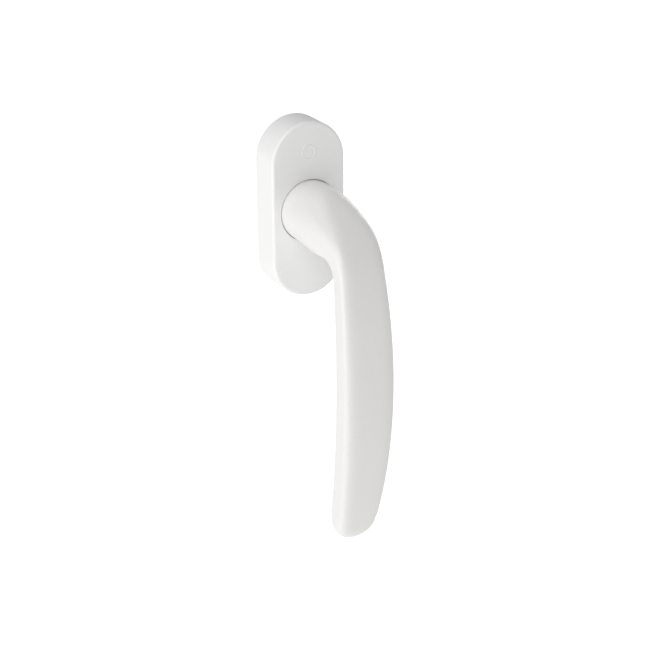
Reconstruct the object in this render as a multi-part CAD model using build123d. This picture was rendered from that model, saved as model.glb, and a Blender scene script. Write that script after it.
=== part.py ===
"""Tilt-and-turn window handle: an oval screw-on rosette with a clip-on cover and a bowed lever.

Millimetres. X runs along the sash to the right, +Z is up and the front of the handle faces -Y.
The origin is on the spindle axis, in the plane of the sash face that the rosette is screwed to.
Distances called "out" are measured from that plane towards the room, and are positive there.
"""

from build123d import *
from math import cos, pi, radians, sin, sqrt
import os

# Cover cap, the visible oval: how far it reaches past the screws and past the neck
COVER_END = 12.5
COVER_SIDE = 3.5
COVER_DEPTH = 13.0
COVER_WALL = 1.6
COVER_EDGE = 1.2

# Interface to the sash: two lugs with screws, and the square spindle
SCREW_CENTRES = 43.0
LUG_DIAMETER = 10.0
LUG_LENGTH = 10.0
LUG_ROOT = 0.4
SCREW_DIAMETER = 5.0
SCREW_SHANK_DIAMETER = 4.4
SCREW_LENGTH = 25.0
SCREW_HEAD_DIAMETER = 9.2
SCREW_RECESS_DEPTH = 1.6
SCREW_RECESS_WIDTH = 1.0
SPINDLE_SIZE = 7.0
SPINDLE_REACH = 20.0
SPINDLE_CHAMFER = 0.6

# Base casting and its rear plate
REAR_PLATE = 0.8
BASE_EDGE = 0.6
RIVET_DIAMETER = 2.4
RIVET_HEAD_DIAMETER = 3.8
RIVET_LENGTH = 4.2
RIVET_X = 9.2
RIVET_Z = 15.2

# Lever: neck, elbow and bowed grip, with lengths along its middle line from the neck's shoulder
NECK_DIAMETER = 23.4
NECK_LENGTH = 8.6
BEND_RADIUS = 30.8
BEND_ANGLE = 10.0
SHANK_LENGTH = 14.9
ELBOW_RADIUS = 13.6
GRIP_LEAN = 12.0
BOW_RADIUS = 205.0
GRIP_LENGTH = 111.0
ELBOW_WIDTH = 18.6
GRIP_WIDTH = 20.9
TIP_WIDTH = 15.0
ELBOW_THICKNESS = 9.0
GRIP_THICKNESS = 10.7
TIP_THICKNESS = 10.4
GRIP_CORNER = 4.4
TIP_ROUND = 8.0
TIP_INSET = 4.4

# Lever's rear end inside the rosette
STUB_DIAMETER = 16.0
STUB_FLAT_DEPTH = 0.8
STUB_GAP = 0.15
SOCKET_DEPTH = 18.5

# Bearing, and the stack behind it from the rear plate outwards
BUSH_WALL = 1.2
BUSH_FLANGE = 0.75
CIRCLIP_LAND = 0.25
CIRCLIP_THICKNESS = 0.8
CIRCLIP_WIDTH = 1.9
CIRCLIP_GROOVE_DEPTH = 0.4
CIRCLIP_GAP = 3.8
CIRCLIP_EYE_X = 2.85
CIRCLIP_EYE_DIAMETER = 1.2
WASHER_THICKNESS = 0.4
DISC_SPRING_HEIGHT = 0.6
DISC_SPRING_SHEET = 0.35
INDEX_RING_WALL = 1.8
INDEX_RING_THICKNESS = 3.2
PIN_DIAMETER = 2.5
PIN_INSET = 0.5
PIN_MARGIN = 0.55

# Detent: two spring-loaded balls that drop into the index ring every quarter turn
BALL_DIAMETER = 3.5
TRACK_DEPTH = 0.5
DETENT_DEPTH = 0.4
DETENT_STOPS = 4
DETENT_SPRING_DIAMETER = 2.5
DETENT_SPRING_WIRE = 0.45
DETENT_SPRING_TURNS = 4
CHANNEL_WALL = 1.25

# Cover clips and guide ring
CLIP_WIDTH = 6.0
CLIP_SHEET = 0.4
CLIP_FOOT = 1.2
CLIP_POCKET_DEPTH = 2.8
CLIP_POCKET_FLOOR = 3.0
GUIDE_RING_WIDTH = 1.2
GUIDE_RING_THICKNESS = 1.2
GUIDE_RING_GAP = 0.2

# Clearances
RUNNING = 0.05
LOOSE = 0.1
SCREW_PLAY = 0.15
NECK_PLAY = 0.3
RING_PLAY = 0.3
SPINDLE_PLAY = 0.3
COVER_PLAY = 0.3
SEAT = 0.02

# Derived sizes shared by several pieces
COVER_HEIGHT = SCREW_CENTRES + 2 * COVER_END
COVER_WIDTH = NECK_DIAMETER + 2 * COVER_SIDE
COVER_FRONT_INSIDE = COVER_DEPTH - COVER_WALL
INSIDE_WIDTH = COVER_WIDTH - 2 * COVER_WALL
INSIDE_HEIGHT = COVER_HEIGHT - 2 * COVER_WALL
BASE_WIDTH = INSIDE_WIDTH - 2 * COVER_PLAY
BASE_HEIGHT = INSIDE_HEIGHT - 2 * COVER_PLAY
GUIDE_RING_BACK = COVER_FRONT_INSIDE - GUIDE_RING_THICKNESS
NECK_SHOULDER = GUIDE_RING_BACK - GUIDE_RING_GAP
FLANGE_FRONT = NECK_SHOULDER - RUNNING
BASE_FRONT = FLANGE_FRONT - BUSH_FLANGE
NECK_RADIUS = NECK_DIAMETER / 2
STUB_RADIUS = STUB_DIAMETER / 2
STUB_REAR = REAR_PLATE + STUB_GAP
BUSH_RADIUS = STUB_RADIUS + RUNNING + BUSH_WALL
CIRCLIP_BACK = STUB_REAR + CIRCLIP_LAND
WASHER_BACK = CIRCLIP_BACK + CIRCLIP_THICKNESS
DISC_SPRING_BACK = WASHER_BACK + WASHER_THICKNESS
RING_BACK = DISC_SPRING_BACK + DISC_SPRING_HEIGHT
RING_FRONT = RING_BACK + INDEX_RING_THICKNESS
RING_MIDDLE = (RING_BACK + RING_FRONT) / 2
RING_RADIUS = STUB_RADIUS + INDEX_RING_WALL
RECESS_FRONT = RING_FRONT + LOOSE
RECESS_RADIUS = RING_RADIUS + RING_PLAY
GROOVE_RADIUS = STUB_RADIUS - CIRCLIP_GROOVE_DEPTH
PIN_OUT = RING_FRONT + PIN_DIAMETER / 2 + PIN_MARGIN
BALL_RADIUS = BALL_DIAMETER / 2
BALL_SEAT = RING_RADIUS - TRACK_DEPTH + BALL_RADIUS
SCREW_HEAD_RADIUS = SCREW_HEAD_DIAMETER / 2
SCREW_RADIUS = SCREW_DIAMETER / 2
SCREW_HEIGHT = SCREW_CENTRES / 2
LUG_RADIUS = LUG_DIAMETER / 2
CHANNEL_END = SCREW_HEIGHT - SCREW_RADIUS - SCREW_PLAY - CHANNEL_WALL
ENDS = {"upper": 1, "lower": -1}

# Middle line of the lever from the neck's shoulder, as the length and radius of each run
STRAIGHT = 0
ELBOW_ANGLE = 90 - GRIP_LEAN - BEND_ANGLE
LEVER_RUNS = [
    (NECK_LENGTH, STRAIGHT),
    (radians(BEND_ANGLE) * BEND_RADIUS, BEND_RADIUS),
    (SHANK_LENGTH, STRAIGHT),
    (radians(ELBOW_ANGLE) * ELBOW_RADIUS, ELBOW_RADIUS),
    (GRIP_LENGTH, BOW_RADIUS),
]
LEVER_RUN = sum(length for length, radius in LEVER_RUNS)
GRIP_RUN = LEVER_RUN - GRIP_LENGTH
TIP_RUN = LEVER_RUN - TIP_ROUND
ROUNDEST = 0.49
NECK_STEPS = 3
ELBOW_STEPS = 8
GRIP_STEPS = 7
TIP_STEPS = 5


def facing(out, height=0.0):
    """The plane parallel to the sash at a distance out from it, looking into the room."""
    return Plane(origin=(0, -out, height), x_dir=(1, 0, 0), z_dir=(0, -1, 0))


def prism(outline, back, front, height=0.0):
    """An outline pushed from one distance out to another."""
    return extrude(facing(back, height) * outline, front - back)


def disc(radius, back, front, height=0.0):
    """A plain disc or pin parallel to the spindle."""
    return prism(Circle(radius), back, front, height)


def ring(outer, inner, back, front):
    """A flat ring round the spindle axis."""
    return prism(Circle(outer) - Circle(inner), back, front)


def oval(width, height, back, front):
    """A plate with half-round ends, long side upright."""
    return prism(SlotOverall(height, width, rotation=90), back, front)


def cone(wide, narrow, out, height=0.0):
    """A 90 degree cone that narrows towards the sash from a wide circle at a distance out."""
    depth = wide - narrow
    return loft([facing(out - depth, height) * Circle(narrow), facing(out, height) * Circle(wide)])


def export(solid, node):
    """Write one sub-part."""
    solid.label = node
    export_step(solid, f"parts/{node}.step")


def cover_cap():
    """The thin oval cap that hides the screws. It slides out along the neck."""
    shell = oval(COVER_WIDTH, COVER_HEIGHT, 0, COVER_DEPTH)
    shell = fillet(shell.faces().sort_by(Axis.Y)[0].edges(), COVER_EDGE)
    shell -= oval(INSIDE_WIDTH, INSIDE_HEIGHT, 0, COVER_FRONT_INSIDE)
    return shell - disc(NECK_RADIUS + NECK_PLAY, 0, COVER_DEPTH)


def cover_guide_ring():
    """The plastic ring behind the cap's front wall that runs on the neck."""
    bore = NECK_RADIUS + NECK_PLAY
    return ring(bore + GUIDE_RING_WIDTH, bore, GUIDE_RING_BACK, COVER_FRONT_INSIDE)


def screw_hole(side):
    """The countersunk hole through the casting and its lug."""
    hole = disc(SCREW_RADIUS + SCREW_PLAY, -LUG_LENGTH, BASE_FRONT, side * SCREW_HEIGHT)
    return hole + cone(SCREW_HEAD_RADIUS + RUNNING, SCREW_RADIUS, BASE_FRONT, side * SCREW_HEIGHT)


def detent_channel(side):
    """The blind bore that holds one ball and its spring, opening into the recess."""
    channel = Plane(origin=(0, -RING_MIDDLE, 0), z_dir=(0, 0, side)) * Circle(BALL_RADIUS + RUNNING)
    return extrude(channel, CHANNEL_END)


def clip_pocket(side):
    """The notch in one end of the casting that holds a cover clip."""
    back_wall = BASE_HEIGHT / 2 - CLIP_POCKET_DEPTH
    notch = Rectangle(CLIP_WIDTH + 2 * LOOSE, 2 * CLIP_POCKET_DEPTH)
    return prism(notch, CLIP_POCKET_FLOOR, BASE_FRONT, side * (back_wall + CLIP_POCKET_DEPTH))


def base_plate():
    """The zinc casting: bearing seat, recess for the index ring, lugs, channels and pockets."""
    plate = oval(BASE_WIDTH, BASE_HEIGHT, REAR_PLATE, BASE_FRONT)
    plate = chamfer(plate.faces().sort_by(Axis.Y)[0].edges(), BASE_EDGE)
    plate -= disc(BUSH_RADIUS, REAR_PLATE, BASE_FRONT)
    plate -= disc(RECESS_RADIUS, REAR_PLATE, RECESS_FRONT)
    for side in ENDS.values():
        plate += disc(LUG_RADIUS, -LUG_LENGTH, REAR_PLATE, side * SCREW_HEIGHT)
        plate += disc(LUG_RADIUS + LUG_ROOT, 0, REAR_PLATE, side * SCREW_HEIGHT)
        plate -= screw_hole(side)
        plate -= detent_channel(side)
        plate -= clip_pocket(side)
    for x in (-RIVET_X, RIVET_X):
        for z in (-RIVET_Z, RIVET_Z):
            plate -= prism(Pos(x, z) * Circle(RIVET_DIAMETER / 2), REAR_PLATE, RIVET_LENGTH)
    return plate


def rear_plate():
    """The steel sheet that closes the casting and lies on the sash."""
    sheet = oval(BASE_WIDTH, BASE_HEIGHT, 0, REAR_PLATE)
    sheet -= disc(SPINDLE_SIZE * sqrt(2) / 2 + SPINDLE_PLAY, 0, REAR_PLATE)
    for side in ENDS.values():
        sheet -= disc(LUG_RADIUS + LUG_ROOT + SEAT, 0, REAR_PLATE, side * SCREW_HEIGHT)
    return sheet - rivets(SEAT)


def rivets(grow=0.0):
    """Four countersunk rivets, or with a margin the holes that they pass through."""
    shank = RIVET_DIAMETER / 2 + grow
    head = RIVET_HEAD_DIAMETER / 2 + grow
    one = disc(shank, 0, RIVET_LENGTH)
    one += loft([facing(0) * Circle(head), facing(head - shank) * Circle(shank)])
    spots = [(x, z) for x in (-RIVET_X, RIVET_X) for z in (-RIVET_Z, RIVET_Z)]
    return Compound([Pos(x, 0, z) * one for x, z in spots])


def neck_bush():
    """The flanged plastic bearing between the casting and the lever's stub."""
    bore = STUB_RADIUS + RUNNING
    tube = ring(BUSH_RADIUS, bore, RECESS_FRONT, BASE_FRONT)
    return tube + ring(NECK_RADIUS, bore, BASE_FRONT, FLANGE_FRONT)


def flatted(radius, grow=0.0):
    """The stub's outline where it carries the index ring: a circle with two flats."""
    return Circle(radius + grow) & Rectangle(2 * (radius - STUB_FLAT_DEPTH + grow), 2 * STUB_DIAMETER)


def index_ring():
    """The steel ring keyed on the stub, with a ball track and four deeper detents."""
    body = prism(Circle(RING_RADIUS) - flatted(STUB_RADIUS, SEAT), RING_BACK, RING_FRONT)
    groove = BALL_RADIUS + RUNNING
    track = Plane(origin=(0, -RING_MIDDLE, 0), z_dir=(0, -1, 0)) * Torus(BALL_SEAT, groove)
    body -= track
    for stop in range(DETENT_STOPS):
        turn = Rot(0, stop * 360 / DETENT_STOPS, 0)
        body -= turn * Pos(0, -RING_MIDDLE, BALL_SEAT - DETENT_DEPTH) * Sphere(groove)
    return body


def detent_ball(side):
    """One hardened ball, shown on the track level between two detents."""
    return Pos(0, -RING_MIDDLE, side * BALL_SEAT) * Sphere(BALL_RADIUS)


def detent_spring(side):
    """The compression spring between a ball and the blind end of its channel."""
    mean = (DETENT_SPRING_DIAMETER - DETENT_SPRING_WIRE) / 2
    wire = DETENT_SPRING_WIRE / 2
    rest = sqrt((BALL_RADIUS + wire + SEAT) ** 2 - mean**2)
    start = BALL_SEAT + rest
    length = CHANNEL_END - wire - SEAT - start
    coil = Helix(length / DETENT_SPRING_TURNS, length, mean)
    section = Plane(origin=coil @ 0, z_dir=coil % 0) * Circle(wire)
    spring = sweep(section, path=coil, is_frenet=True)
    upright = Pos(0, -RING_MIDDLE, start) * spring
    return upright if side > 0 else Rot(180, 0, 0) * Pos(0, 2 * RING_MIDDLE, 0) * upright


def disc_spring():
    """The slightly conical spring washer that takes up end play."""
    inner = STUB_RADIUS + LOOSE
    outer = RING_RADIUS - LOOSE
    profile = Polyline(
        (inner, -RING_BACK),
        (inner, -RING_BACK + DISC_SPRING_SHEET),
        (outer, -DISC_SPRING_BACK),
        (outer, -DISC_SPRING_BACK - DISC_SPRING_SHEET),
        close=True,
    )
    return revolve(make_face(profile), Axis.Y)


def thrust_washer():
    """The flat washer between the spring washer and the circlip."""
    return ring(RING_RADIUS - LOOSE, STUB_RADIUS + LOOSE, WASHER_BACK, DISC_SPRING_BACK)


def retaining_circlip():
    """The external circlip in the stub's groove, with its two eyes at the open end."""
    outer = GROOVE_RADIUS + CIRCLIP_WIDTH
    mean = GROOVE_RADIUS + CIRCLIP_WIDTH / 2
    clip = ring(outer, GROOVE_RADIUS + SEAT, CIRCLIP_BACK, WASHER_BACK)
    clip -= prism(Pos(0, -mean) * Rectangle(CIRCLIP_GAP, 2 * mean), CIRCLIP_BACK, WASHER_BACK)
    for x in (-CIRCLIP_EYE_X, CIRCLIP_EYE_X):
        eye = Pos(x, -sqrt(mean**2 - x**2)) * Circle(CIRCLIP_EYE_DIAMETER / 2)
        clip -= prism(eye, CIRCLIP_BACK, WASHER_BACK)
    return clip


def pin_bore(radius, length):
    """A round bar across the stub and spindle, centred on the axis."""
    middle = Plane(origin=(0, -PIN_OUT, 0), x_dir=(0, 1, 0), z_dir=(1, 0, 0))
    return extrude(middle * Circle(radius), length / 2, both=True)


def spindle():
    """The square steel spindle, pinned in the stub, that drives the sash gear."""
    bar = prism(Rectangle(SPINDLE_SIZE, SPINDLE_SIZE), -SPINDLE_REACH, SOCKET_DEPTH - SCREW_PLAY)
    ends = bar.faces().sort_by(Axis.Y)
    bar = chamfer(ends[0].edges() + ends[-1].edges(), SPINDLE_CHAMFER)
    return bar - pin_bore(PIN_DIAMETER / 2 + SEAT, STUB_DIAMETER)


def spindle_pin():
    """The roll pin that holds the spindle in the stub."""
    return pin_bore(PIN_DIAMETER / 2, STUB_DIAMETER - 2 * PIN_INSET)


def fixing_screw(side):
    """One countersunk machine screw: a rolled thread past the lug, a plain shank and a cross recess."""
    height = side * SCREW_HEIGHT
    shank_radius = SCREW_SHANK_DIAMETER / 2
    thread_start = -LUG_LENGTH - LOOSE
    screw = cone(SCREW_HEAD_RADIUS, shank_radius, BASE_FRONT, height)
    screw += disc(shank_radius, thread_start, BASE_FRONT - SCREW_HEAD_RADIUS + shank_radius, height)
    screw += disc(SCREW_RADIUS, BASE_FRONT - SCREW_LENGTH, thread_start, height)
    slot = Rectangle(SCREW_DIAMETER, SCREW_RECESS_WIDTH)
    cross = slot + Rot(0, 0, 90) * slot
    return screw - prism(cross, BASE_FRONT - SCREW_RECESS_DEPTH, BASE_FRONT, height)


def cover_clip(side):
    """The bent leaf spring in the casting's end that steadies the cap."""
    back_wall = BASE_HEIGHT / 2 - CLIP_POCKET_DEPTH + LOOSE + CLIP_SHEET / 2
    floor = CLIP_POCKET_FLOOR + LOOSE + CLIP_SHEET / 2
    reach = BASE_HEIGHT / 2 - COVER_PLAY - CLIP_SHEET / 2
    top = BASE_FRONT - CLIP_SHEET
    points = [
        (top, back_wall),
        (floor, back_wall),
        (floor, back_wall + CLIP_FOOT),
        ((floor + top) / 2 + CLIP_SHEET, reach),
        (top, reach - CLIP_SHEET),
    ]
    bend = FilletPolyline(*points, radius=CLIP_SHEET)
    sheet = trace(bend, CLIP_SHEET)
    profile = Plane(origin=(0, 0, 0), x_dir=(0, -1, 0), z_dir=(-1, 0, 0)) * sheet
    strip = extrude(profile, CLIP_WIDTH / 2, both=True)
    return strip if side > 0 else mirror(strip, Plane.XY)


def centreline(distance):
    """How far out and how high the lever's middle line is after a run from the shoulder, and its turn."""
    out, height, turned, remaining = NECK_SHOULDER, 0.0, 0.0, distance
    for length, radius in LEVER_RUNS:
        step = min(remaining, length)
        if radius == STRAIGHT:
            out += step * cos(turned)
            height -= step * sin(turned)
        else:
            after = turned + step / radius
            out += radius * (sin(after) - sin(turned))
            height -= radius * (cos(turned) - cos(after))
            turned = after
        remaining -= step
    return out, height, turned


def share_of(distance, start, end):
    """How much of the run from start to end is done, from 0 to 1."""
    return min(max(distance - start, 0) / (end - start), 1)


def ease(start, end, share):
    """A smooth change from one size to another."""
    return start + (end - start) * share * share * (3 - 2 * share)


def bow(start, middle, end, share):
    """A size that passes through three values along the grip on a parabola."""
    return start * (1 - share) * (1 - 2 * share) + 4 * middle * share * (1 - share) + end * share * (2 * share - 1)


def lever_section(distance):
    """The lever's section at a run from the shoulder, round at first and flatter along the grip."""
    out, height, turned = centreline(distance)
    elbow = share_of(distance, NECK_LENGTH, GRIP_RUN)
    grip = share_of(distance, GRIP_RUN, LEVER_RUN)
    width = ease(NECK_DIAMETER, bow(ELBOW_WIDTH, GRIP_WIDTH, TIP_WIDTH, grip), elbow)
    thickness = ease(NECK_DIAMETER, bow(ELBOW_THICKNESS, GRIP_THICKNESS, TIP_THICKNESS, grip), elbow)
    corner = ease(NECK_RADIUS, GRIP_CORNER, elbow)
    inset = TIP_INSET * (1 - sqrt(1 - share_of(distance, TIP_RUN, LEVER_RUN) ** 2))
    width -= 2 * inset
    thickness -= 2 * inset
    corner = min(corner, ROUNDEST * thickness, ROUNDEST * width)
    plane = Plane(origin=(0, -out, height), x_dir=(1, 0, 0), z_dir=(0, -cos(turned), -sin(turned)))
    return plane * RectangleRounded(width, thickness, corner)


def evenly(start, end, steps):
    """Runs from start to end in even steps."""
    return [start + (end - start) * i / steps for i in range(steps + 1)]


def handle_lever():
    """The cast lever: grip, elbow and neck, with the turned stub that runs in the bush."""
    tip = [TIP_RUN + TIP_ROUND * sin(pi / 2 * i / TIP_STEPS) for i in range(TIP_STEPS + 1)]
    body = evenly(0, NECK_LENGTH, NECK_STEPS)[:-1] + evenly(NECK_LENGTH, GRIP_RUN, ELBOW_STEPS)[:-1]
    body += evenly(GRIP_RUN, TIP_RUN, GRIP_STEPS)
    lever = loft([lever_section(run) for run in body])
    lever += loft([lever_section(run) for run in tip])
    lever += disc(STUB_RADIUS, RING_FRONT, NECK_SHOULDER)
    lever += prism(flatted(STUB_RADIUS), STUB_REAR, RING_FRONT)
    lever -= ring(STUB_RADIUS + LOOSE, GROOVE_RADIUS, CIRCLIP_BACK - SEAT, WASHER_BACK + SEAT)
    lever -= prism(Rectangle(SPINDLE_SIZE + 2 * SEAT, SPINDLE_SIZE + 2 * SEAT), STUB_REAR, SOCKET_DEPTH)
    return lever - pin_bore(PIN_DIAMETER / 2 + SEAT, STUB_DIAMETER)


def main():
    """Build and write every sub-part."""
    os.makedirs("parts", exist_ok=True)
    single = [
        cover_cap,
        cover_guide_ring,
        base_plate,
        rear_plate,
        neck_bush,
        index_ring,
        disc_spring,
        thrust_washer,
        retaining_circlip,
        spindle,
        spindle_pin,
        handle_lever,
    ]
    for make in single:
        export(make(), make.__name__)
    export(rivets(), "rear_plate_rivets")
    for end, side in ENDS.items():
        for make in (detent_ball, detent_spring, fixing_screw, cover_clip):
            export(make(side), f"{make.__name__}_{end}")


main()
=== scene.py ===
"""Looks of a tilt-and-turn window handle: a white bowed lever on an oval rosette.

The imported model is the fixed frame. This script replaces the lever, the cover cap and the two
fixing screws with finer meshes of the same size, dresses every piece with a procedural finish, and
sets up a plain studio. Lengths in the classes are in metres. "Out" is the distance from the sash
plane y = 0 towards the room, so a point that is out lies at negative y. The origin is on the
spindle axis.
"""

import logging
import math
from dataclasses import dataclass, field, replace
from enum import Enum

import bpy
from mathutils import Matrix, Vector


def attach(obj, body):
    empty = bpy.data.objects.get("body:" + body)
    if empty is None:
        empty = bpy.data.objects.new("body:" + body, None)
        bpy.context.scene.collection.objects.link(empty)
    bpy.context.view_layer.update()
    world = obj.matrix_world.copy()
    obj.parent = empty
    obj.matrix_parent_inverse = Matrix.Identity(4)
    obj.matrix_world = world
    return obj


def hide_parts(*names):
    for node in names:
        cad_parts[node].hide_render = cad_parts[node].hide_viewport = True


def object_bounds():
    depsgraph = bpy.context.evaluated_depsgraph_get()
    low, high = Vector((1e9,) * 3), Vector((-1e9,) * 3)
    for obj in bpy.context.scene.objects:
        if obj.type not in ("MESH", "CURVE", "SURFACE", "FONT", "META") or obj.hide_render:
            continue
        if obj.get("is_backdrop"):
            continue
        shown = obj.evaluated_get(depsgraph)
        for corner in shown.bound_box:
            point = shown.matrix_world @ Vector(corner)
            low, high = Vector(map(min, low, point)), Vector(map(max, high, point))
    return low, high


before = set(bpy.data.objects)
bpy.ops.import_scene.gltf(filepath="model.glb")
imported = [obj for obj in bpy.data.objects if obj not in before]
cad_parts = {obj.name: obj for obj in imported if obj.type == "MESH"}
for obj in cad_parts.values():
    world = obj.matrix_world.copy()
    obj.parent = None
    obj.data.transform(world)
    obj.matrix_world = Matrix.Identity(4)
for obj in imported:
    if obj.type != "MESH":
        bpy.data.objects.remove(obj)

LOG = logging.getLogger("window_handle")
MM = 0.001
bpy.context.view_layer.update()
FULL_TURN = 2 * math.pi
WHITE = (1.0, 1.0, 1.0, 1.0)
SCREW_HEIGHT = 21.5 * MM


# ---------------------------------------------------------------- finishes


class Group(Enum):
    """Shared effects, each a shader node group that is built once."""

    TONE = "tone_drift"
    RELIEF = "fine_relief"
    GLOSS = "gloss_spread"


def new_group(kind: Group) -> bpy.types.NodeTree:
    """Start an empty shader node group.

    Args:
        kind: which shared effect it is.

    Returns:
        The node group with no sockets yet.
    """
    return bpy.data.node_groups.new(kind.value, "ShaderNodeTree")


def add_socket(
    tree: bpy.types.NodeTree,
    name: str,
    way: str,
    kind: str,
    value: float | tuple[float, float, float, float] | None = None,
) -> None:
    """Add an input or output to a node group.

    Args:
        tree: the node group.
        name: the socket's name.
        way: INPUT or OUTPUT.
        kind: the socket's type, such as NodeSocketFloat.
        value: the default value of an input.
    """
    socket = tree.interface.new_socket(name, in_out=way, socket_type=kind)
    if value is not None:
        socket.default_value = value


def build_tone_drift() -> bpy.types.NodeTree:
    """A colour that drifts a little over the surface, as a sprayed or cast skin does.

    Returns:
        The node group, with a Color output.
    """
    tree = new_group(Group.TONE)
    add_socket(tree, "Vector", "INPUT", "NodeSocketVector")
    add_socket(tree, "Color", "INPUT", "NodeSocketColor", (0.8, 0.8, 0.8, 1.0))
    add_socket(tree, "Drift", "INPUT", "NodeSocketFloat", 0.02)
    add_socket(tree, "Scale", "INPUT", "NodeSocketFloat", 60.0)
    add_socket(tree, "Speck", "INPUT", "NodeSocketFloat", 0.0)
    add_socket(tree, "Color", "OUTPUT", "NodeSocketColor")
    nodes, links = tree.nodes, tree.links
    source, sink = nodes.new("NodeGroupInput"), nodes.new("NodeGroupOutput")
    slow = nodes.new("ShaderNodeTexNoise")
    slow.inputs["Detail"].default_value = 3.0
    links.new(source.outputs["Vector"], slow.inputs["Vector"])
    links.new(source.outputs["Scale"], slow.inputs["Scale"])
    centred = nodes.new("ShaderNodeMath")
    centred.operation = "SUBTRACT"
    centred.inputs[1].default_value = 0.5
    links.new(slow.outputs["Fac"], centred.inputs[0])
    amount = nodes.new("ShaderNodeMath")
    amount.operation = "MULTIPLY_ADD"
    amount.inputs[2].default_value = 1.0
    links.new(centred.outputs[0], amount.inputs[0])
    links.new(source.outputs["Drift"], amount.inputs[1])
    fine = nodes.new("ShaderNodeTexNoise")
    fine.inputs["Scale"].default_value = 2600.0
    fine.inputs["Detail"].default_value = 2.0
    links.new(source.outputs["Vector"], fine.inputs["Vector"])
    dark = nodes.new("ShaderNodeMapRange")
    dark.inputs["From Min"].default_value = 0.62
    dark.inputs["From Max"].default_value = 0.75
    dark.inputs["To Min"].default_value = 0.0
    dark.inputs["To Max"].default_value = 1.0
    links.new(fine.outputs["Fac"], dark.inputs["Value"])
    speck = nodes.new("ShaderNodeMath")
    speck.operation = "MULTIPLY"
    links.new(dark.outputs["Result"], speck.inputs[0])
    links.new(source.outputs["Speck"], speck.inputs[1])
    total = nodes.new("ShaderNodeMath")
    total.operation = "SUBTRACT"
    links.new(amount.outputs[0], total.inputs[0])
    links.new(speck.outputs[0], total.inputs[1])
    scaled = nodes.new("ShaderNodeVectorMath")
    scaled.operation = "SCALE"
    links.new(source.outputs["Color"], scaled.inputs[0])
    links.new(total.outputs[0], scaled.inputs["Scale"])
    links.new(scaled.outputs["Vector"], sink.inputs["Color"])
    return tree


def build_fine_relief() -> bpy.types.NodeTree:
    """A height made of a soft ripple and a finer grain.

    Returns:
        The node group, with a Height output.
    """
    tree = new_group(Group.RELIEF)
    add_socket(tree, "Vector", "INPUT", "NodeSocketVector")
    add_socket(tree, "Ripple Scale", "INPUT", "NodeSocketFloat", 400.0)
    add_socket(tree, "Grain Scale", "INPUT", "NodeSocketFloat", 2500.0)
    add_socket(tree, "Grain Share", "INPUT", "NodeSocketFloat", 0.3)
    add_socket(tree, "Height", "OUTPUT", "NodeSocketFloat")
    nodes, links = tree.nodes, tree.links
    source, sink = nodes.new("NodeGroupInput"), nodes.new("NodeGroupOutput")
    ripple = nodes.new("ShaderNodeTexNoise")
    ripple.inputs["Detail"].default_value = 1.5
    links.new(source.outputs["Vector"], ripple.inputs["Vector"])
    links.new(source.outputs["Ripple Scale"], ripple.inputs["Scale"])
    grain = nodes.new("ShaderNodeTexNoise")
    grain.inputs["Detail"].default_value = 4.0
    links.new(source.outputs["Vector"], grain.inputs["Vector"])
    links.new(source.outputs["Grain Scale"], grain.inputs["Scale"])
    mixed = nodes.new("ShaderNodeMath")
    mixed.operation = "MULTIPLY_ADD"
    links.new(grain.outputs["Fac"], mixed.inputs[0])
    links.new(source.outputs["Grain Share"], mixed.inputs[1])
    links.new(ripple.outputs["Fac"], mixed.inputs[2])
    links.new(mixed.outputs[0], sink.inputs["Height"])
    return tree


def build_gloss_spread() -> bpy.types.NodeTree:
    """A roughness that varies a little, as handling and spraying leave it.

    Returns:
        The node group, with a Roughness output.
    """
    tree = new_group(Group.GLOSS)
    add_socket(tree, "Vector", "INPUT", "NodeSocketVector")
    add_socket(tree, "Roughness", "INPUT", "NodeSocketFloat", 0.4)
    add_socket(tree, "Spread", "INPUT", "NodeSocketFloat", 0.05)
    add_socket(tree, "Scale", "INPUT", "NodeSocketFloat", 90.0)
    add_socket(tree, "Roughness", "OUTPUT", "NodeSocketFloat")
    nodes, links = tree.nodes, tree.links
    source, sink = nodes.new("NodeGroupInput"), nodes.new("NodeGroupOutput")
    cloud = nodes.new("ShaderNodeTexNoise")
    cloud.inputs["Detail"].default_value = 5.0
    links.new(source.outputs["Vector"], cloud.inputs["Vector"])
    links.new(source.outputs["Scale"], cloud.inputs["Scale"])
    centred = nodes.new("ShaderNodeMath")
    centred.operation = "SUBTRACT"
    centred.inputs[1].default_value = 0.5
    links.new(cloud.outputs["Fac"], centred.inputs[0])
    spread = nodes.new("ShaderNodeMath")
    spread.operation = "MULTIPLY_ADD"
    links.new(centred.outputs[0], spread.inputs[0])
    links.new(source.outputs["Spread"], spread.inputs[1])
    links.new(source.outputs["Roughness"], spread.inputs[2])
    links.new(spread.outputs[0], sink.inputs["Roughness"])
    return tree


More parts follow.
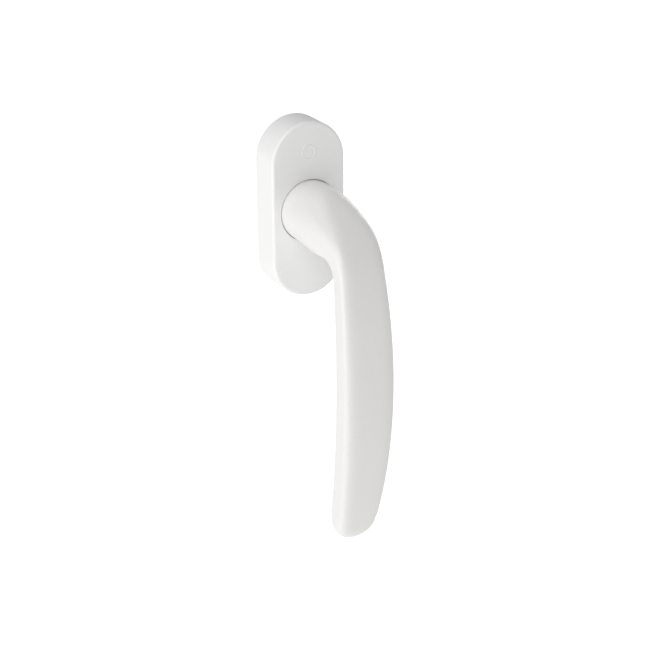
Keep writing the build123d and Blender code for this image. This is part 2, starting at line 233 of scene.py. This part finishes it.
@dataclass(frozen=True)
class Finish:
    """One material finish, with every effect at its real scale.

    Scales are in waves per metre, so 2500 is a grain of 0.4 mm.
    """

    name: str
    colour: tuple[float, float, float]
    roughness: float
    metallic: float = 0.0
    drift: float = 0.03
    drift_scale: float = 60.0
    speck: float = 0.0
    gloss_spread: float = 0.06
    ripple_scale: float = 400.0
    grain_scale: float = 2500.0
    grain_share: float = 0.3
    relief: float = 0.02
    stretch: tuple[float, float, float] = (1.0, 1.0, 1.0)
    coat: float = 0.0
    coat_roughness: float = 0.1
    ior: float = 1.5

    def make(self, groups: dict[Group, bpy.types.NodeTree]) -> bpy.types.Material:
        """Build the material.

        Args:
            groups: the shared node groups.

        Returns:
            The finished node material.
        """
        material = bpy.data.materials.new(self.name)
        material.use_nodes = True
        nodes, links = material.node_tree.nodes, material.node_tree.links
        shader = nodes["Principled BSDF"]
        shader.inputs["Metallic"].default_value = self.metallic
        shader.inputs["IOR"].default_value = self.ior
        shader.inputs["Coat Weight"].default_value = self.coat
        shader.inputs["Coat Roughness"].default_value = self.coat_roughness
        place = nodes.new("ShaderNodeTexCoord")
        mapping = nodes.new("ShaderNodeMapping")
        mapping.inputs["Scale"].default_value = self.stretch
        links.new(place.outputs["Object"], mapping.inputs["Vector"])
        tone = self._group(nodes, groups[Group.TONE])
        tone.inputs["Color"].default_value = (*self.colour, 1.0)
        tone.inputs["Drift"].default_value = self.drift
        tone.inputs["Scale"].default_value = self.drift_scale
        tone.inputs["Speck"].default_value = self.speck
        links.new(mapping.outputs["Vector"], tone.inputs["Vector"])
        links.new(tone.outputs["Color"], shader.inputs["Base Color"])
        gloss = self._group(nodes, groups[Group.GLOSS])
        gloss.inputs["Roughness"].default_value = self.roughness
        gloss.inputs["Spread"].default_value = self.gloss_spread
        links.new(mapping.outputs["Vector"], gloss.inputs["Vector"])
        links.new(gloss.outputs["Roughness"], shader.inputs["Roughness"])
        relief = self._group(nodes, groups[Group.RELIEF])
        relief.inputs["Ripple Scale"].default_value = self.ripple_scale
        relief.inputs["Grain Scale"].default_value = self.grain_scale
        relief.inputs["Grain Share"].default_value = self.grain_share
        links.new(mapping.outputs["Vector"], relief.inputs["Vector"])
        bump = nodes.new("ShaderNodeBump")
        bump.inputs["Strength"].default_value = 1.0
        bump.inputs["Distance"].default_value = self.relief * MM
        links.new(relief.outputs["Height"], bump.inputs["Height"])
        links.new(bump.outputs["Normal"], shader.inputs["Normal"])
        return material

    @staticmethod
    def _group(nodes: bpy.types.Nodes, tree: bpy.types.NodeTree) -> bpy.types.ShaderNodeGroup:
        """Place a shared group in the material."""
        node = nodes.new("ShaderNodeGroup")
        node.node_tree = tree
        return node


POWDER_COAT = Finish(
    "white_powder_coat",
    (0.86, 0.852, 0.838),
    roughness=0.36,
    drift=0.02,
    speck=0.12,
    ripple_scale=420.0,
    grain_scale=2200.0,
    grain_share=0.4,
    relief=0.022,
    coat=0.25,
    coat_roughness=0.22,
)
# The cover cap gets a lighter copy of the powder coat. The extra lightness is painted light: it
# stands for the brighter light on the rosette's face, and the real cap is not known to differ in
# colour from the lever.
COAT_WITH_PAINTED_LIGHT = replace(POWDER_COAT, name="powder_coat_with_painted_light", colour=(0.905, 0.905, 0.90))
WHITE_MOULDING = Finish("white_moulding", (0.80, 0.80, 0.79), roughness=0.5, relief=0.01)
NATURAL_MOULDING = Finish("natural_moulding", (0.74, 0.72, 0.65), roughness=0.45, relief=0.012)
ZINC_CASTING = Finish(
    "zinc_casting",
    (0.46, 0.47, 0.48),
    roughness=0.48,
    metallic=1.0,
    drift=0.16,
    gloss_spread=0.2,
    ripple_scale=700.0,
    grain_scale=4200.0,
    grain_share=0.6,
    relief=0.05,
)
ZINC_PLATE = Finish(
    "bright_zinc_plate",
    (0.43, 0.455, 0.49),
    roughness=0.28,
    metallic=1.0,
    drift=0.12,
    drift_scale=110.0,
    gloss_spread=0.16,
    grain_scale=2600.0,
    relief=0.015,
)
DRAWN_BAR = Finish(
    "drawn_zinc_plated_bar",
    (0.44, 0.455, 0.48),
    roughness=0.3,
    metallic=1.0,
    drift=0.12,
    gloss_spread=0.18,
    ripple_scale=900.0,
    grain_scale=4500.0,
    grain_share=0.7,
    relief=0.03,
    stretch=(1.0, 0.04, 1.0),
)
HARDENED_STEEL = Finish(
    "hardened_steel",
    (0.42, 0.42, 0.44),
    roughness=0.18,
    metallic=1.0,
    gloss_spread=0.1,
    relief=0.008,
)
SPRING_STEEL = Finish(
    "spring_steel",
    (0.26, 0.26, 0.28),
    roughness=0.3,
    metallic=1.0,
    gloss_spread=0.14,
    relief=0.01,
)

NODE_FINISHES = {
    "cover_cap": COAT_WITH_PAINTED_LIGHT,
    "handle_lever": POWDER_COAT,
    "cover_guide_ring": WHITE_MOULDING,
    "neck_bush": NATURAL_MOULDING,
    "base_plate": ZINC_CASTING,
    "rear_plate": ZINC_PLATE,
    "rear_plate_rivets": ZINC_PLATE,
    "thrust_washer": ZINC_PLATE,
    "spindle": DRAWN_BAR,
    "fixing_screw_upper": ZINC_PLATE,
    "fixing_screw_lower": ZINC_PLATE,
    "index_ring": HARDENED_STEEL,
    "detent_ball_upper": HARDENED_STEEL,
    "detent_ball_lower": HARDENED_STEEL,
}


def dress(obj: bpy.types.Object, material: bpy.types.Material) -> None:
    """Give a piece or node one material.

    Args:
        obj: the piece, with or without a slot.
        material: its finish.
    """
    if not obj.material_slots:
        obj.data.materials.append(material)
    for slot in obj.material_slots:
        slot.material = material


# ---------------------------------------------------------------- modelling helpers


def deselect() -> None:
    """Leave object mode with nothing selected."""
    if bpy.context.mode != "OBJECT":
        bpy.ops.object.mode_set(mode="OBJECT")
    bpy.ops.object.select_all(action="DESELECT")


def activate(obj: bpy.types.Object) -> None:
    """Make one object the only selected and active one."""
    deselect()
    obj.select_set(True)
    bpy.context.view_layer.objects.active = obj


def settle(obj: bpy.types.Object) -> bpy.types.Object:
    """Move an object's place, turn and size into its mesh.

    Args:
        obj: the piece.

    Returns:
        The same piece, with its object at the origin.
    """
    activate(obj)
    bpy.ops.object.transform_apply(location=True, rotation=True, scale=True)
    return obj


def outwards(obj: bpy.types.Object) -> None:
    """Merge doubled points and turn every face outwards."""
    activate(obj)
    bpy.ops.object.mode_set(mode="EDIT")
    bpy.ops.mesh.select_all(action="SELECT")
    bpy.ops.mesh.remove_doubles(threshold=1e-6)
    bpy.ops.mesh.normals_make_consistent(inside=False)
    bpy.ops.object.mode_set(mode="OBJECT")


def smooth(obj: bpy.types.Object, degrees: float = 35.0) -> None:
    """Shade smooth, with creases sharper than the angle kept."""
    activate(obj)
    bpy.ops.object.shade_smooth_by_angle(angle=math.radians(degrees))


def combine(obj: bpy.types.Object, other: bpy.types.Object, how: str) -> None:
    """Apply a boolean with another object and delete that object.

    Args:
        obj: the piece that is kept.
        other: the tool.
        how: UNION or DIFFERENCE.
    """
    modifier = obj.modifiers.new(how.lower(), "BOOLEAN")
    modifier.operation = how
    modifier.solver = "EXACT"
    modifier.object = other
    activate(obj)
    bpy.ops.object.modifier_apply(modifier=modifier.name)
    bpy.data.objects.remove(other, do_unlink=True)


def round_bar(
    name: str, radius: float, back: float, front: float, sides: int = 96
) -> bpy.types.Object:
    """A cylinder on the spindle's axis.

    Args:
        name: the object's name.
        radius: its radius.
        back: its rear end, as a distance out.
        front: its front end, as a distance out.
        sides: how many flats approximate it.

    Returns:
        The cylinder, settled.
    """
    deselect()
    bpy.ops.mesh.primitive_cylinder_add(
        vertices=sides,
        radius=radius,
        depth=front - back,
        location=(0, -(front + back) / 2, 0),
        rotation=(math.pi / 2, 0, 0),
    )
    obj = bpy.context.object
    obj.name = name
    return settle(obj)


def block(
    name: str, size: tuple[float, float, float], middle: tuple[float, float, float]
) -> bpy.types.Object:
    """A box, for cutting.

    Args:
        name: the object's name.
        size: its three edges.
        middle: its centre.

    Returns:
        The box, settled.
    """
    deselect()
    bpy.ops.mesh.primitive_cube_add(size=1, location=middle)
    obj = bpy.context.object
    obj.name = name
    obj.scale = size
    return settle(obj)


def tube(name: str, rings: list[list[Vector]]) -> bpy.types.Object:
    """A closed mesh drawn through rings of points, all with the same count.

    Args:
        name: the object's name.
        rings: the rings in order, the first and last closed by a fan.

    Returns:
        The object, with its faces outwards.
    """
    around = len(rings[0])
    points = [point for ring in rings for point in ring]
    faces = []
    for ring in range(len(rings) - 1):
        low, high = ring * around, (ring + 1) * around
        for i in range(around):
            after = (i + 1) % around
            faces.append((low + i, low + after, high + after, high + i))
    for ring, start in ((rings[0], 0), (rings[-1], (len(rings) - 1) * around)):
        middle = sum(ring, Vector()) / around
        points.append(middle)
        faces += [(start + i, start + (i + 1) % around, len(points) - 1) for i in range(around)]
    mesh = bpy.data.meshes.new(name)
    mesh.from_pydata(points, [], faces)
    obj = bpy.data.objects.new(name, mesh)
    bpy.context.scene.collection.objects.link(obj)
    outwards(obj)
    return obj


# ---------------------------------------------------------------- the lever


def ease(start: float, end: float, share: float) -> float:
    """A smooth change from one size to another."""
    return start + (end - start) * share * share * (3 - 2 * share)


def bow(start: float, middle: float, end: float, share: float) -> float:
    """A size that passes through three values on a parabola."""
    rest = 1 - share
    ends = start * rest * (1 - 2 * share) + end * share * (2 * share - 1)
    return ends + 4 * middle * share * rest


def share_of(run: float, start: float, end: float) -> float:
    """How much of the way from start to end is done, from 0 to 1."""
    return min(max(run - start, 0.0) / (end - start), 1.0)


@dataclass
class Lever:
    """The cast lever: a round neck, an elbow and a bowed grip, with the turned stub behind."""

    neck_diameter: float = 23.4 * MM
    shoulder: float = 10.0 * MM
    neck_length: float = 8.6 * MM
    bend_radius: float = 30.8 * MM
    bend_angle: float = math.radians(10.0)
    shank_length: float = 14.9 * MM
    elbow_radius: float = 13.6 * MM
    grip_lean: float = math.radians(12.0)
    bow_radius: float = 205.0 * MM
    grip_length: float = 111.0 * MM
    widths: tuple[float, float, float] = (18.6 * MM, 20.9 * MM, 15.0 * MM)
    thicknesses: tuple[float, float, float] = (9.0 * MM, 10.7 * MM, 10.4 * MM)
    tip_round: float = 8.0 * MM
    roundness: float = 2.0
    squareness: float = 4.6
    tip_squareness: float = 2.3
    tip_blend: float = 16.0 * MM
    tip_power: float = 2.2
    tip_end: float = 0.9995
    stub_diameter: float = 16.0 * MM
    stub_flats: float = 14.4 * MM
    stub_back: float = 0.95 * MM
    flat_length: float = 5.25 * MM
    flat_out: float = 3.575 * MM
    groove: tuple[float, float] = (1.18 * MM, 2.02 * MM)
    groove_radius: float = 7.6 * MM
    socket: float = 7.04 * MM
    socket_depth: float = 18.5 * MM
    pin_bore: float = 1.27 * MM
    pin_out: float = 8.0 * MM
    sides: int = 96
    body_rings: int = 120
    tip_rings: int = 18
    runs: list[tuple[float, float]] = field(init=False)

    def __post_init__(self) -> None:
        """Work out the length and radius of each run of the middle line."""
        elbow_angle = math.pi / 2 - self.grip_lean - self.bend_angle
        self.runs = [
            (self.neck_length, math.inf),
            (self.bend_angle * self.bend_radius, self.bend_radius),
            (self.shank_length, math.inf),
            (elbow_angle * self.elbow_radius, self.elbow_radius),
            (self.grip_length, self.bow_radius),
        ]

    @property
    def length(self) -> float:
        """The whole middle line."""
        return sum(length for length, radius in self.runs)

    def centreline(self, run: float) -> tuple[float, float, float]:
        """Follow the middle line.

        Args:
            run: the distance from the neck's shoulder.

        Returns:
            The distance out, the height and the angle turned downwards.
        """
        out, height, turned, left = self.shoulder, 0.0, 0.0, run
        for length, radius in self.runs:
            step = min(left, length)
            after = turned + step / radius
            if radius == math.inf:
                out += step * math.cos(turned)
                height -= step * math.sin(turned)
            else:
                out += radius * (math.sin(after) - math.sin(turned))
                height -= radius * (math.cos(turned) - math.cos(after))
            turned = after
            left -= step
        return out, height, turned

    def ring(self, run: float) -> list[Vector]:
        """The section's outline at a run from the shoulder.

        Args:
            run: the distance from the shoulder.

        Returns:
            The points of the outline, anticlockwise seen from the free end.
        """
        out, height, turned = self.centreline(run)
        grip_start = self.length - self.grip_length
        elbow = share_of(run, self.neck_length, grip_start)
        grip = share_of(run, grip_start, self.length)
        into_tip = share_of(run, self.length - self.tip_round, self.length)
        width = ease(self.neck_diameter, bow(*self.widths, grip), elbow)
        thickness = ease(self.neck_diameter, bow(*self.thicknesses, grip), elbow)
        power = ease(self.roundness, self.squareness, elbow)
        near_tip = share_of(run, self.length - self.tip_blend, self.length)
        power = ease(power, self.tip_squareness, near_tip)
        shrink = math.sqrt(max(1 - into_tip**self.tip_power, 0.0))
        half_width = width / 2 - min(self.tip_round, width / 2) * (1 - shrink)
        half_thickness = thickness / 2 * shrink
        points = []
        for i in range(self.sides):
            angle = FULL_TURN * i / self.sides
            c, s = math.cos(angle), math.sin(angle)
            across = half_width * math.copysign(abs(c) ** (2 / power), c)
            through = half_thickness * math.copysign(abs(s) ** (2 / power), s)
            forward, up = through * math.sin(turned), through * math.cos(turned)
            points.append(Vector((across, -out - forward, height + up)))
        return points

    def build(self) -> bpy.types.Object:
        """Model the lever.

        Returns:
            The lever, with its stub, groove, socket and cross bore.
        """
        tip = self.length - self.tip_round
        runs = [tip * i / self.body_rings for i in range(self.body_rings)]
        for i in range(self.tip_rings + 1):
            into = math.sin(math.pi / 2 * i / self.tip_rings)
            runs.append(tip + self.tip_round * into * self.tip_end)
        lever = tube("lever_casting", [self.ring(run) for run in runs])
        stub = round_bar("stub", self.stub_diameter / 2, self.stub_back, self.shoulder + 1 * MM)
        for side in (-1, 1):
            slab = block(
                "flat",
                (2 * MM, self.flat_length, self.stub_diameter),
                (side * (self.stub_flats / 2 + 1 * MM), -self.flat_out, 0),
            )
            combine(stub, slab, "DIFFERENCE")
        cutter = round_bar("groove", self.stub_diameter / 2 + 1 * MM, *self.groove)
        core = round_bar("core", self.groove_radius, 0, 3 * MM)
        combine(cutter, core, "DIFFERENCE")
        combine(stub, cutter, "DIFFERENCE")
        combine(lever, stub, "UNION")
        depth = self.socket_depth
        socket = block("socket", (self.socket, depth, self.socket), (0, -depth / 2, 0))
        combine(lever, socket, "DIFFERENCE")
        deselect()
        bpy.ops.mesh.primitive_cylinder_add(
            vertices=32,
            radius=self.pin_bore,
            depth=self.stub_diameter + 2 * MM,
            location=(0, -self.pin_out, 0),
            rotation=(0, math.pi / 2, 0),
        )
        combine(lever, settle(bpy.context.object), "DIFFERENCE")
        smooth(lever, 32.0)
        return lever


# ---------------------------------------------------------------- the cover cap


@dataclass
class CoverCap:
    """The thin oval cap, with a plain raised ring where such caps carry a mark."""

    width: float = 30.4 * MM
    height: float = 68.0 * MM
    depth: float = 13.0 * MM
    wall: float = 1.6 * MM
    edge: float = 1.2 * MM
    hole_radius: float = 11.95 * MM
    mark_height: float = 22.5 * MM
    mark_radius: float = 2.7 * MM
    mark_relief: float = 0.16 * MM
    sides: int = 192

    def oval(self, name: str, inset: float, back: float, front: float) -> bpy.types.Object:
        """A plate with half-round ends.

        Args:
            name: the object's name.
            inset: how far its outline lies inside the cap's.
            back: its rear face, as a distance out.
            front: its front face, as a distance out.

        Returns:
            The plate.
        """
        radius = self.width / 2 - inset
        plate = round_bar(name, radius, back, front, sides=self.sides)
        lift = (self.height - self.width) / 2
        for vertex in plate.data.vertices:
            vertex.co.z += math.copysign(lift, vertex.co.z)
        return plate

    def build(self) -> bpy.types.Object:
        """Model the cap.

        Returns:
            The cap.
        """
        cap = self.oval("cover_cap_shell", 0.0, 0.0, self.depth)
        activate(cap)
        bpy.ops.object.mode_set(mode="EDIT")
        bpy.ops.mesh.select_all(action="DESELECT")
        bpy.ops.mesh.select_mode(type="EDGE")
        bpy.ops.object.mode_set(mode="OBJECT")
        for edge in cap.data.edges:
            ends = [cap.data.vertices[i].co.y for i in edge.vertices]
            edge.select = all(abs(y + self.depth) < 1e-6 for y in ends)
        bpy.ops.object.mode_set(mode="EDIT")
        bpy.ops.mesh.bevel(offset=self.edge, segments=8, profile=0.5, affect="EDGES")
        bpy.ops.object.mode_set(mode="OBJECT")
        hollow = self.oval("hollow", self.wall, -1 * MM, self.depth - self.wall)
        combine(cap, hollow, "DIFFERENCE")
        hole = round_bar("hole", self.hole_radius, -1 * MM, self.depth + 1 * MM, sides=144)
        combine(cap, hole, "DIFFERENCE")
        deselect()
        bpy.ops.mesh.primitive_torus_add(
            major_segments=48,
            minor_segments=12,
            major_radius=self.mark_radius,
            minor_radius=2 * self.mark_relief,
            location=(0, -self.depth + self.mark_relief, self.mark_height),
            rotation=(math.pi / 2, 0, 0),
        )
        combine(cap, settle(bpy.context.object), "UNION")
        smooth(cap, 32.0)
        return cap


# ---------------------------------------------------------------- the fixing screws


@dataclass
class FixingScrew:
    """A countersunk machine screw with a rolled thread and a cross recess."""

    height: float
    front: float = 9.2 * MM
    length: float = 25.0 * MM
    radius: float = 2.5 * MM
    shank_radius: float = 2.2 * MM
    head_radius: float = 4.6 * MM
    thread_depth: float = 0.42 * MM
    pitch: float = 0.8 * MM
    plain: float = 19.3 * MM
    recess: float = 2.6 * MM
    recess_depth: float = 1.5 * MM
    sides: int = 32
    rings_per_pitch: int = 8

    def radius_at(self, along: float, angle: float) -> float:
        """The thread's radius.

        Args:
            along: the distance from the head's front.
            angle: the angle round the axis.

        Returns:
            The radius of the surface there.
        """
        if along < self.head_radius - self.shank_radius:
            return self.head_radius - along
        if along < self.plain:
            return self.shank_radius
        wave = (along / self.pitch - angle / FULL_TURN) % 1.0
        flank = abs(2 * wave - 1)
        point = share_of(along, self.length - 2 * self.pitch, self.length)
        return self.radius - self.thread_depth * max(flank, point)

    def build(self, name: str) -> bpy.types.Object:
        """Model the screw.

        Args:
            name: the object's name.

        Returns:
            The screw.
        """
        cone = self.head_radius - self.shank_radius
        count = int(self.length / self.pitch * self.rings_per_pitch)
        runs = [0.0, 0.12 * MM] + [cone * i / 4 for i in range(1, 4)]
        runs += [cone + (self.length - cone) * i / count for i in range(count + 1)]
        rings = []
        for along in runs:
            ring = []
            for i in range(self.sides):
                angle = FULL_TURN * i / self.sides
                radius = self.radius_at(along, angle)
                across, up = radius * math.cos(angle), radius * math.sin(angle)
                ring.append(Vector((across, along - self.front, self.height + up)))
            rings.append(ring)
        screw = tube(name, rings)
        deep = 2 * self.recess_depth
        for size in ((2 * self.recess, deep, 0.9 * MM), (0.9 * MM, deep, 2 * self.recess)):
            slot = block("slot", size, (0, -self.front, self.height))
            combine(screw, slot, "DIFFERENCE")
        smooth(screw, 28.0)
        return screw


# ---------------------------------------------------------------- the studio


@dataclass
class Studio:
    """Pale floor, soft lights and the camera."""

    azimuth: float = math.radians(-29.2)
    elevation: float = math.radians(23.1)
    roll: float = math.radians(0.4)
    distance: float = 0.65
    aim_right: float = 12.18 * MM
    aim_up: float = -47.16 * MM
    lens: float = 95.18
    floor_drop: float = 0.30
    floor_size: float = 12.0
    floor_tone: tuple[float, float, float, float] = (0.55, 0.55, 0.55, 1.0)
    floor_roughness: float = 0.9
    floor_glow: float = 0.65
    room_light: float = 0.25
    backdrop: float = 1.0
    lamp_size: float = 0.8
    lit_point: tuple[float, float, float] = (0.0, -0.03, -0.04)

    def camera(self) -> None:
        """Place the camera and make it the scene's."""
        a, e = self.azimuth, self.elevation
        right = Vector((math.cos(a), math.sin(a), 0))
        level = math.cos(e)
        ahead = Vector((-math.sin(a) * level, math.cos(a) * level, -math.sin(e)))
        up = right.cross(ahead)
        c, s = math.cos(self.roll), math.sin(self.roll)
        right, up = c * right - s * up, s * right + c * up
        data = bpy.data.cameras.new("camera")
        data.lens = self.lens
        data.sensor_width = 36.0
        data.clip_start = 0.01
        camera = bpy.data.objects.new("camera", data)
        bpy.context.scene.collection.objects.link(camera)
        place = right * self.aim_right + up * self.aim_up - ahead * self.distance
        turn = Matrix((right, up, -ahead)).transposed().to_4x4()
        camera.matrix_world = Matrix.Translation(place) @ turn
        bpy.context.scene.camera = camera

    def floor(self) -> None:
        """Lay the pale floor under the handle."""
        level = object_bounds()[0][2] - self.floor_drop
        deselect()
        bpy.ops.mesh.primitive_plane_add(size=self.floor_size, location=(0, 0, level))
        plane = settle(bpy.context.object)
        plane.name = "floor"
        material = bpy.data.materials.new("pale_floor")
        material.use_nodes = True
        shader = material.node_tree.nodes["Principled BSDF"]
        shader.inputs["Base Color"].default_value = self.floor_tone
        shader.inputs["Roughness"].default_value = self.floor_roughness
        shader.inputs["Emission Color"].default_value = WHITE
        glow = shader.inputs["Emission Strength"]
        self.overexpose(material.node_tree, glow, self.floor_glow, self.backdrop)
        dress(plane, material)
        plane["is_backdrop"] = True

    def light(self, name: str, place: tuple[float, float, float], power: float) -> None:
        """Hang one square soft light that looks at the handle.

        Args:
            name: the light's name.
            place: where it hangs.
            power: its power in watts.
        """
        data = bpy.data.lights.new(name, "AREA")
        data.shape = "SQUARE"
        data.size = self.lamp_size
        data.energy = power
        lamp = bpy.data.objects.new(name, data)
        bpy.context.scene.collection.objects.link(lamp)
        lamp.location = place
        aim = Vector(self.lit_point) - Vector(place)
        lamp.rotation_euler = aim.to_track_quat("-Z", "Y").to_euler()

    def overexpose(
        self, tree: bpy.types.NodeTree, strength: bpy.types.NodeSocket, lit: float, seen: float
    ) -> None:
        """Let a surface show whiter than the light that it gives.

        Args:
            tree: the node tree.
            strength: the socket that holds the strength of the light.
            lit: the strength that lights the handle.
            seen: the strength that shows behind it.
        """
        rays = tree.nodes.new("ShaderNodeLightPath")
        chosen = tree.nodes.new("ShaderNodeMapRange")
        chosen.inputs["To Min"].default_value = lit
        chosen.inputs["To Max"].default_value = seen
        tree.links.new(rays.outputs["Is Camera Ray"], chosen.inputs["Value"])
        tree.links.new(chosen.outputs["Result"], strength)

    def surroundings(self) -> None:
        """Fill the room with an even soft light, in front of a white backdrop."""
        world = bpy.data.worlds.new("surroundings")
        world.use_nodes = True
        tree = world.node_tree
        sky = tree.nodes["Background"]
        sky.inputs["Color"].default_value = WHITE
        self.overexpose(tree, sky.inputs["Strength"], self.room_light, self.backdrop)
        bpy.context.scene.world = world

    def build(self) -> None:
        """Set up the floor, lights, surroundings and camera."""
        self.floor()
        self.light("key", (-1.10, 0.0, 0.0), 3.3)
        self.light("fill", (-0.635, -0.635, 0.635), 4.9)
        self.light("rim", (1.0, 0.45, 0.0), 3.6)
        self.light("top", (0.0, 0.25, 1.07), 2.8)
        self.surroundings()
        bpy.context.scene.view_settings.view_transform = "Standard"
        self.camera()


# ---------------------------------------------------------------- assembly


def put_in(
    piece: bpy.types.Object, body: str, node: str, finish: bpy.types.Material
) -> None:
    """Let a finished piece stand in for a CAD node.

    Args:
        piece: the new piece.
        body: the body it moves with.
        node: the node it replaces.
        finish: its material.
    """
    dress(piece, finish)
    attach(piece, body)
    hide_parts(node)
    LOG.info("%s stands for %s: %d faces", piece.name, node, len(piece.data.polygons))


def main() -> None:
    """Build every piece, dress every node and set up the studio."""
    logging.basicConfig(level=logging.INFO, format="%(name)s: %(message)s")
    groups = {
        Group.TONE: build_tone_drift(),
        Group.RELIEF: build_fine_relief(),
        Group.GLOSS: build_gloss_spread(),
    }
    finishes: dict[str, bpy.types.Material] = {}
    for node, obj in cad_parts.items():
        finish = NODE_FINISHES.get(node, SPRING_STEEL)
        if finish.name not in finishes:
            finishes[finish.name] = finish.make(groups)
        dress(obj, finishes[finish.name])
    coat, coat_with_painted_light, plate = (finishes[f.name] for f in (POWDER_COAT, COAT_WITH_PAINTED_LIGHT, ZINC_PLATE))
    put_in(Lever().build(), "lever", "handle_lever", coat)
    # The cap wears the lighter copy of the coat, which carries painted light.
    put_in(CoverCap().build(), "cover", "cover_cap", coat_with_painted_light)
    for end, side in (("upper", 1), ("lower", -1)):
        screw = FixingScrew(height=side * SCREW_HEIGHT).build(f"machine_screw_{end}")
        put_in(screw, "rosette", f"fixing_screw_{end}", plate)
    Studio().build()


if __name__ == "__main__":
    main()
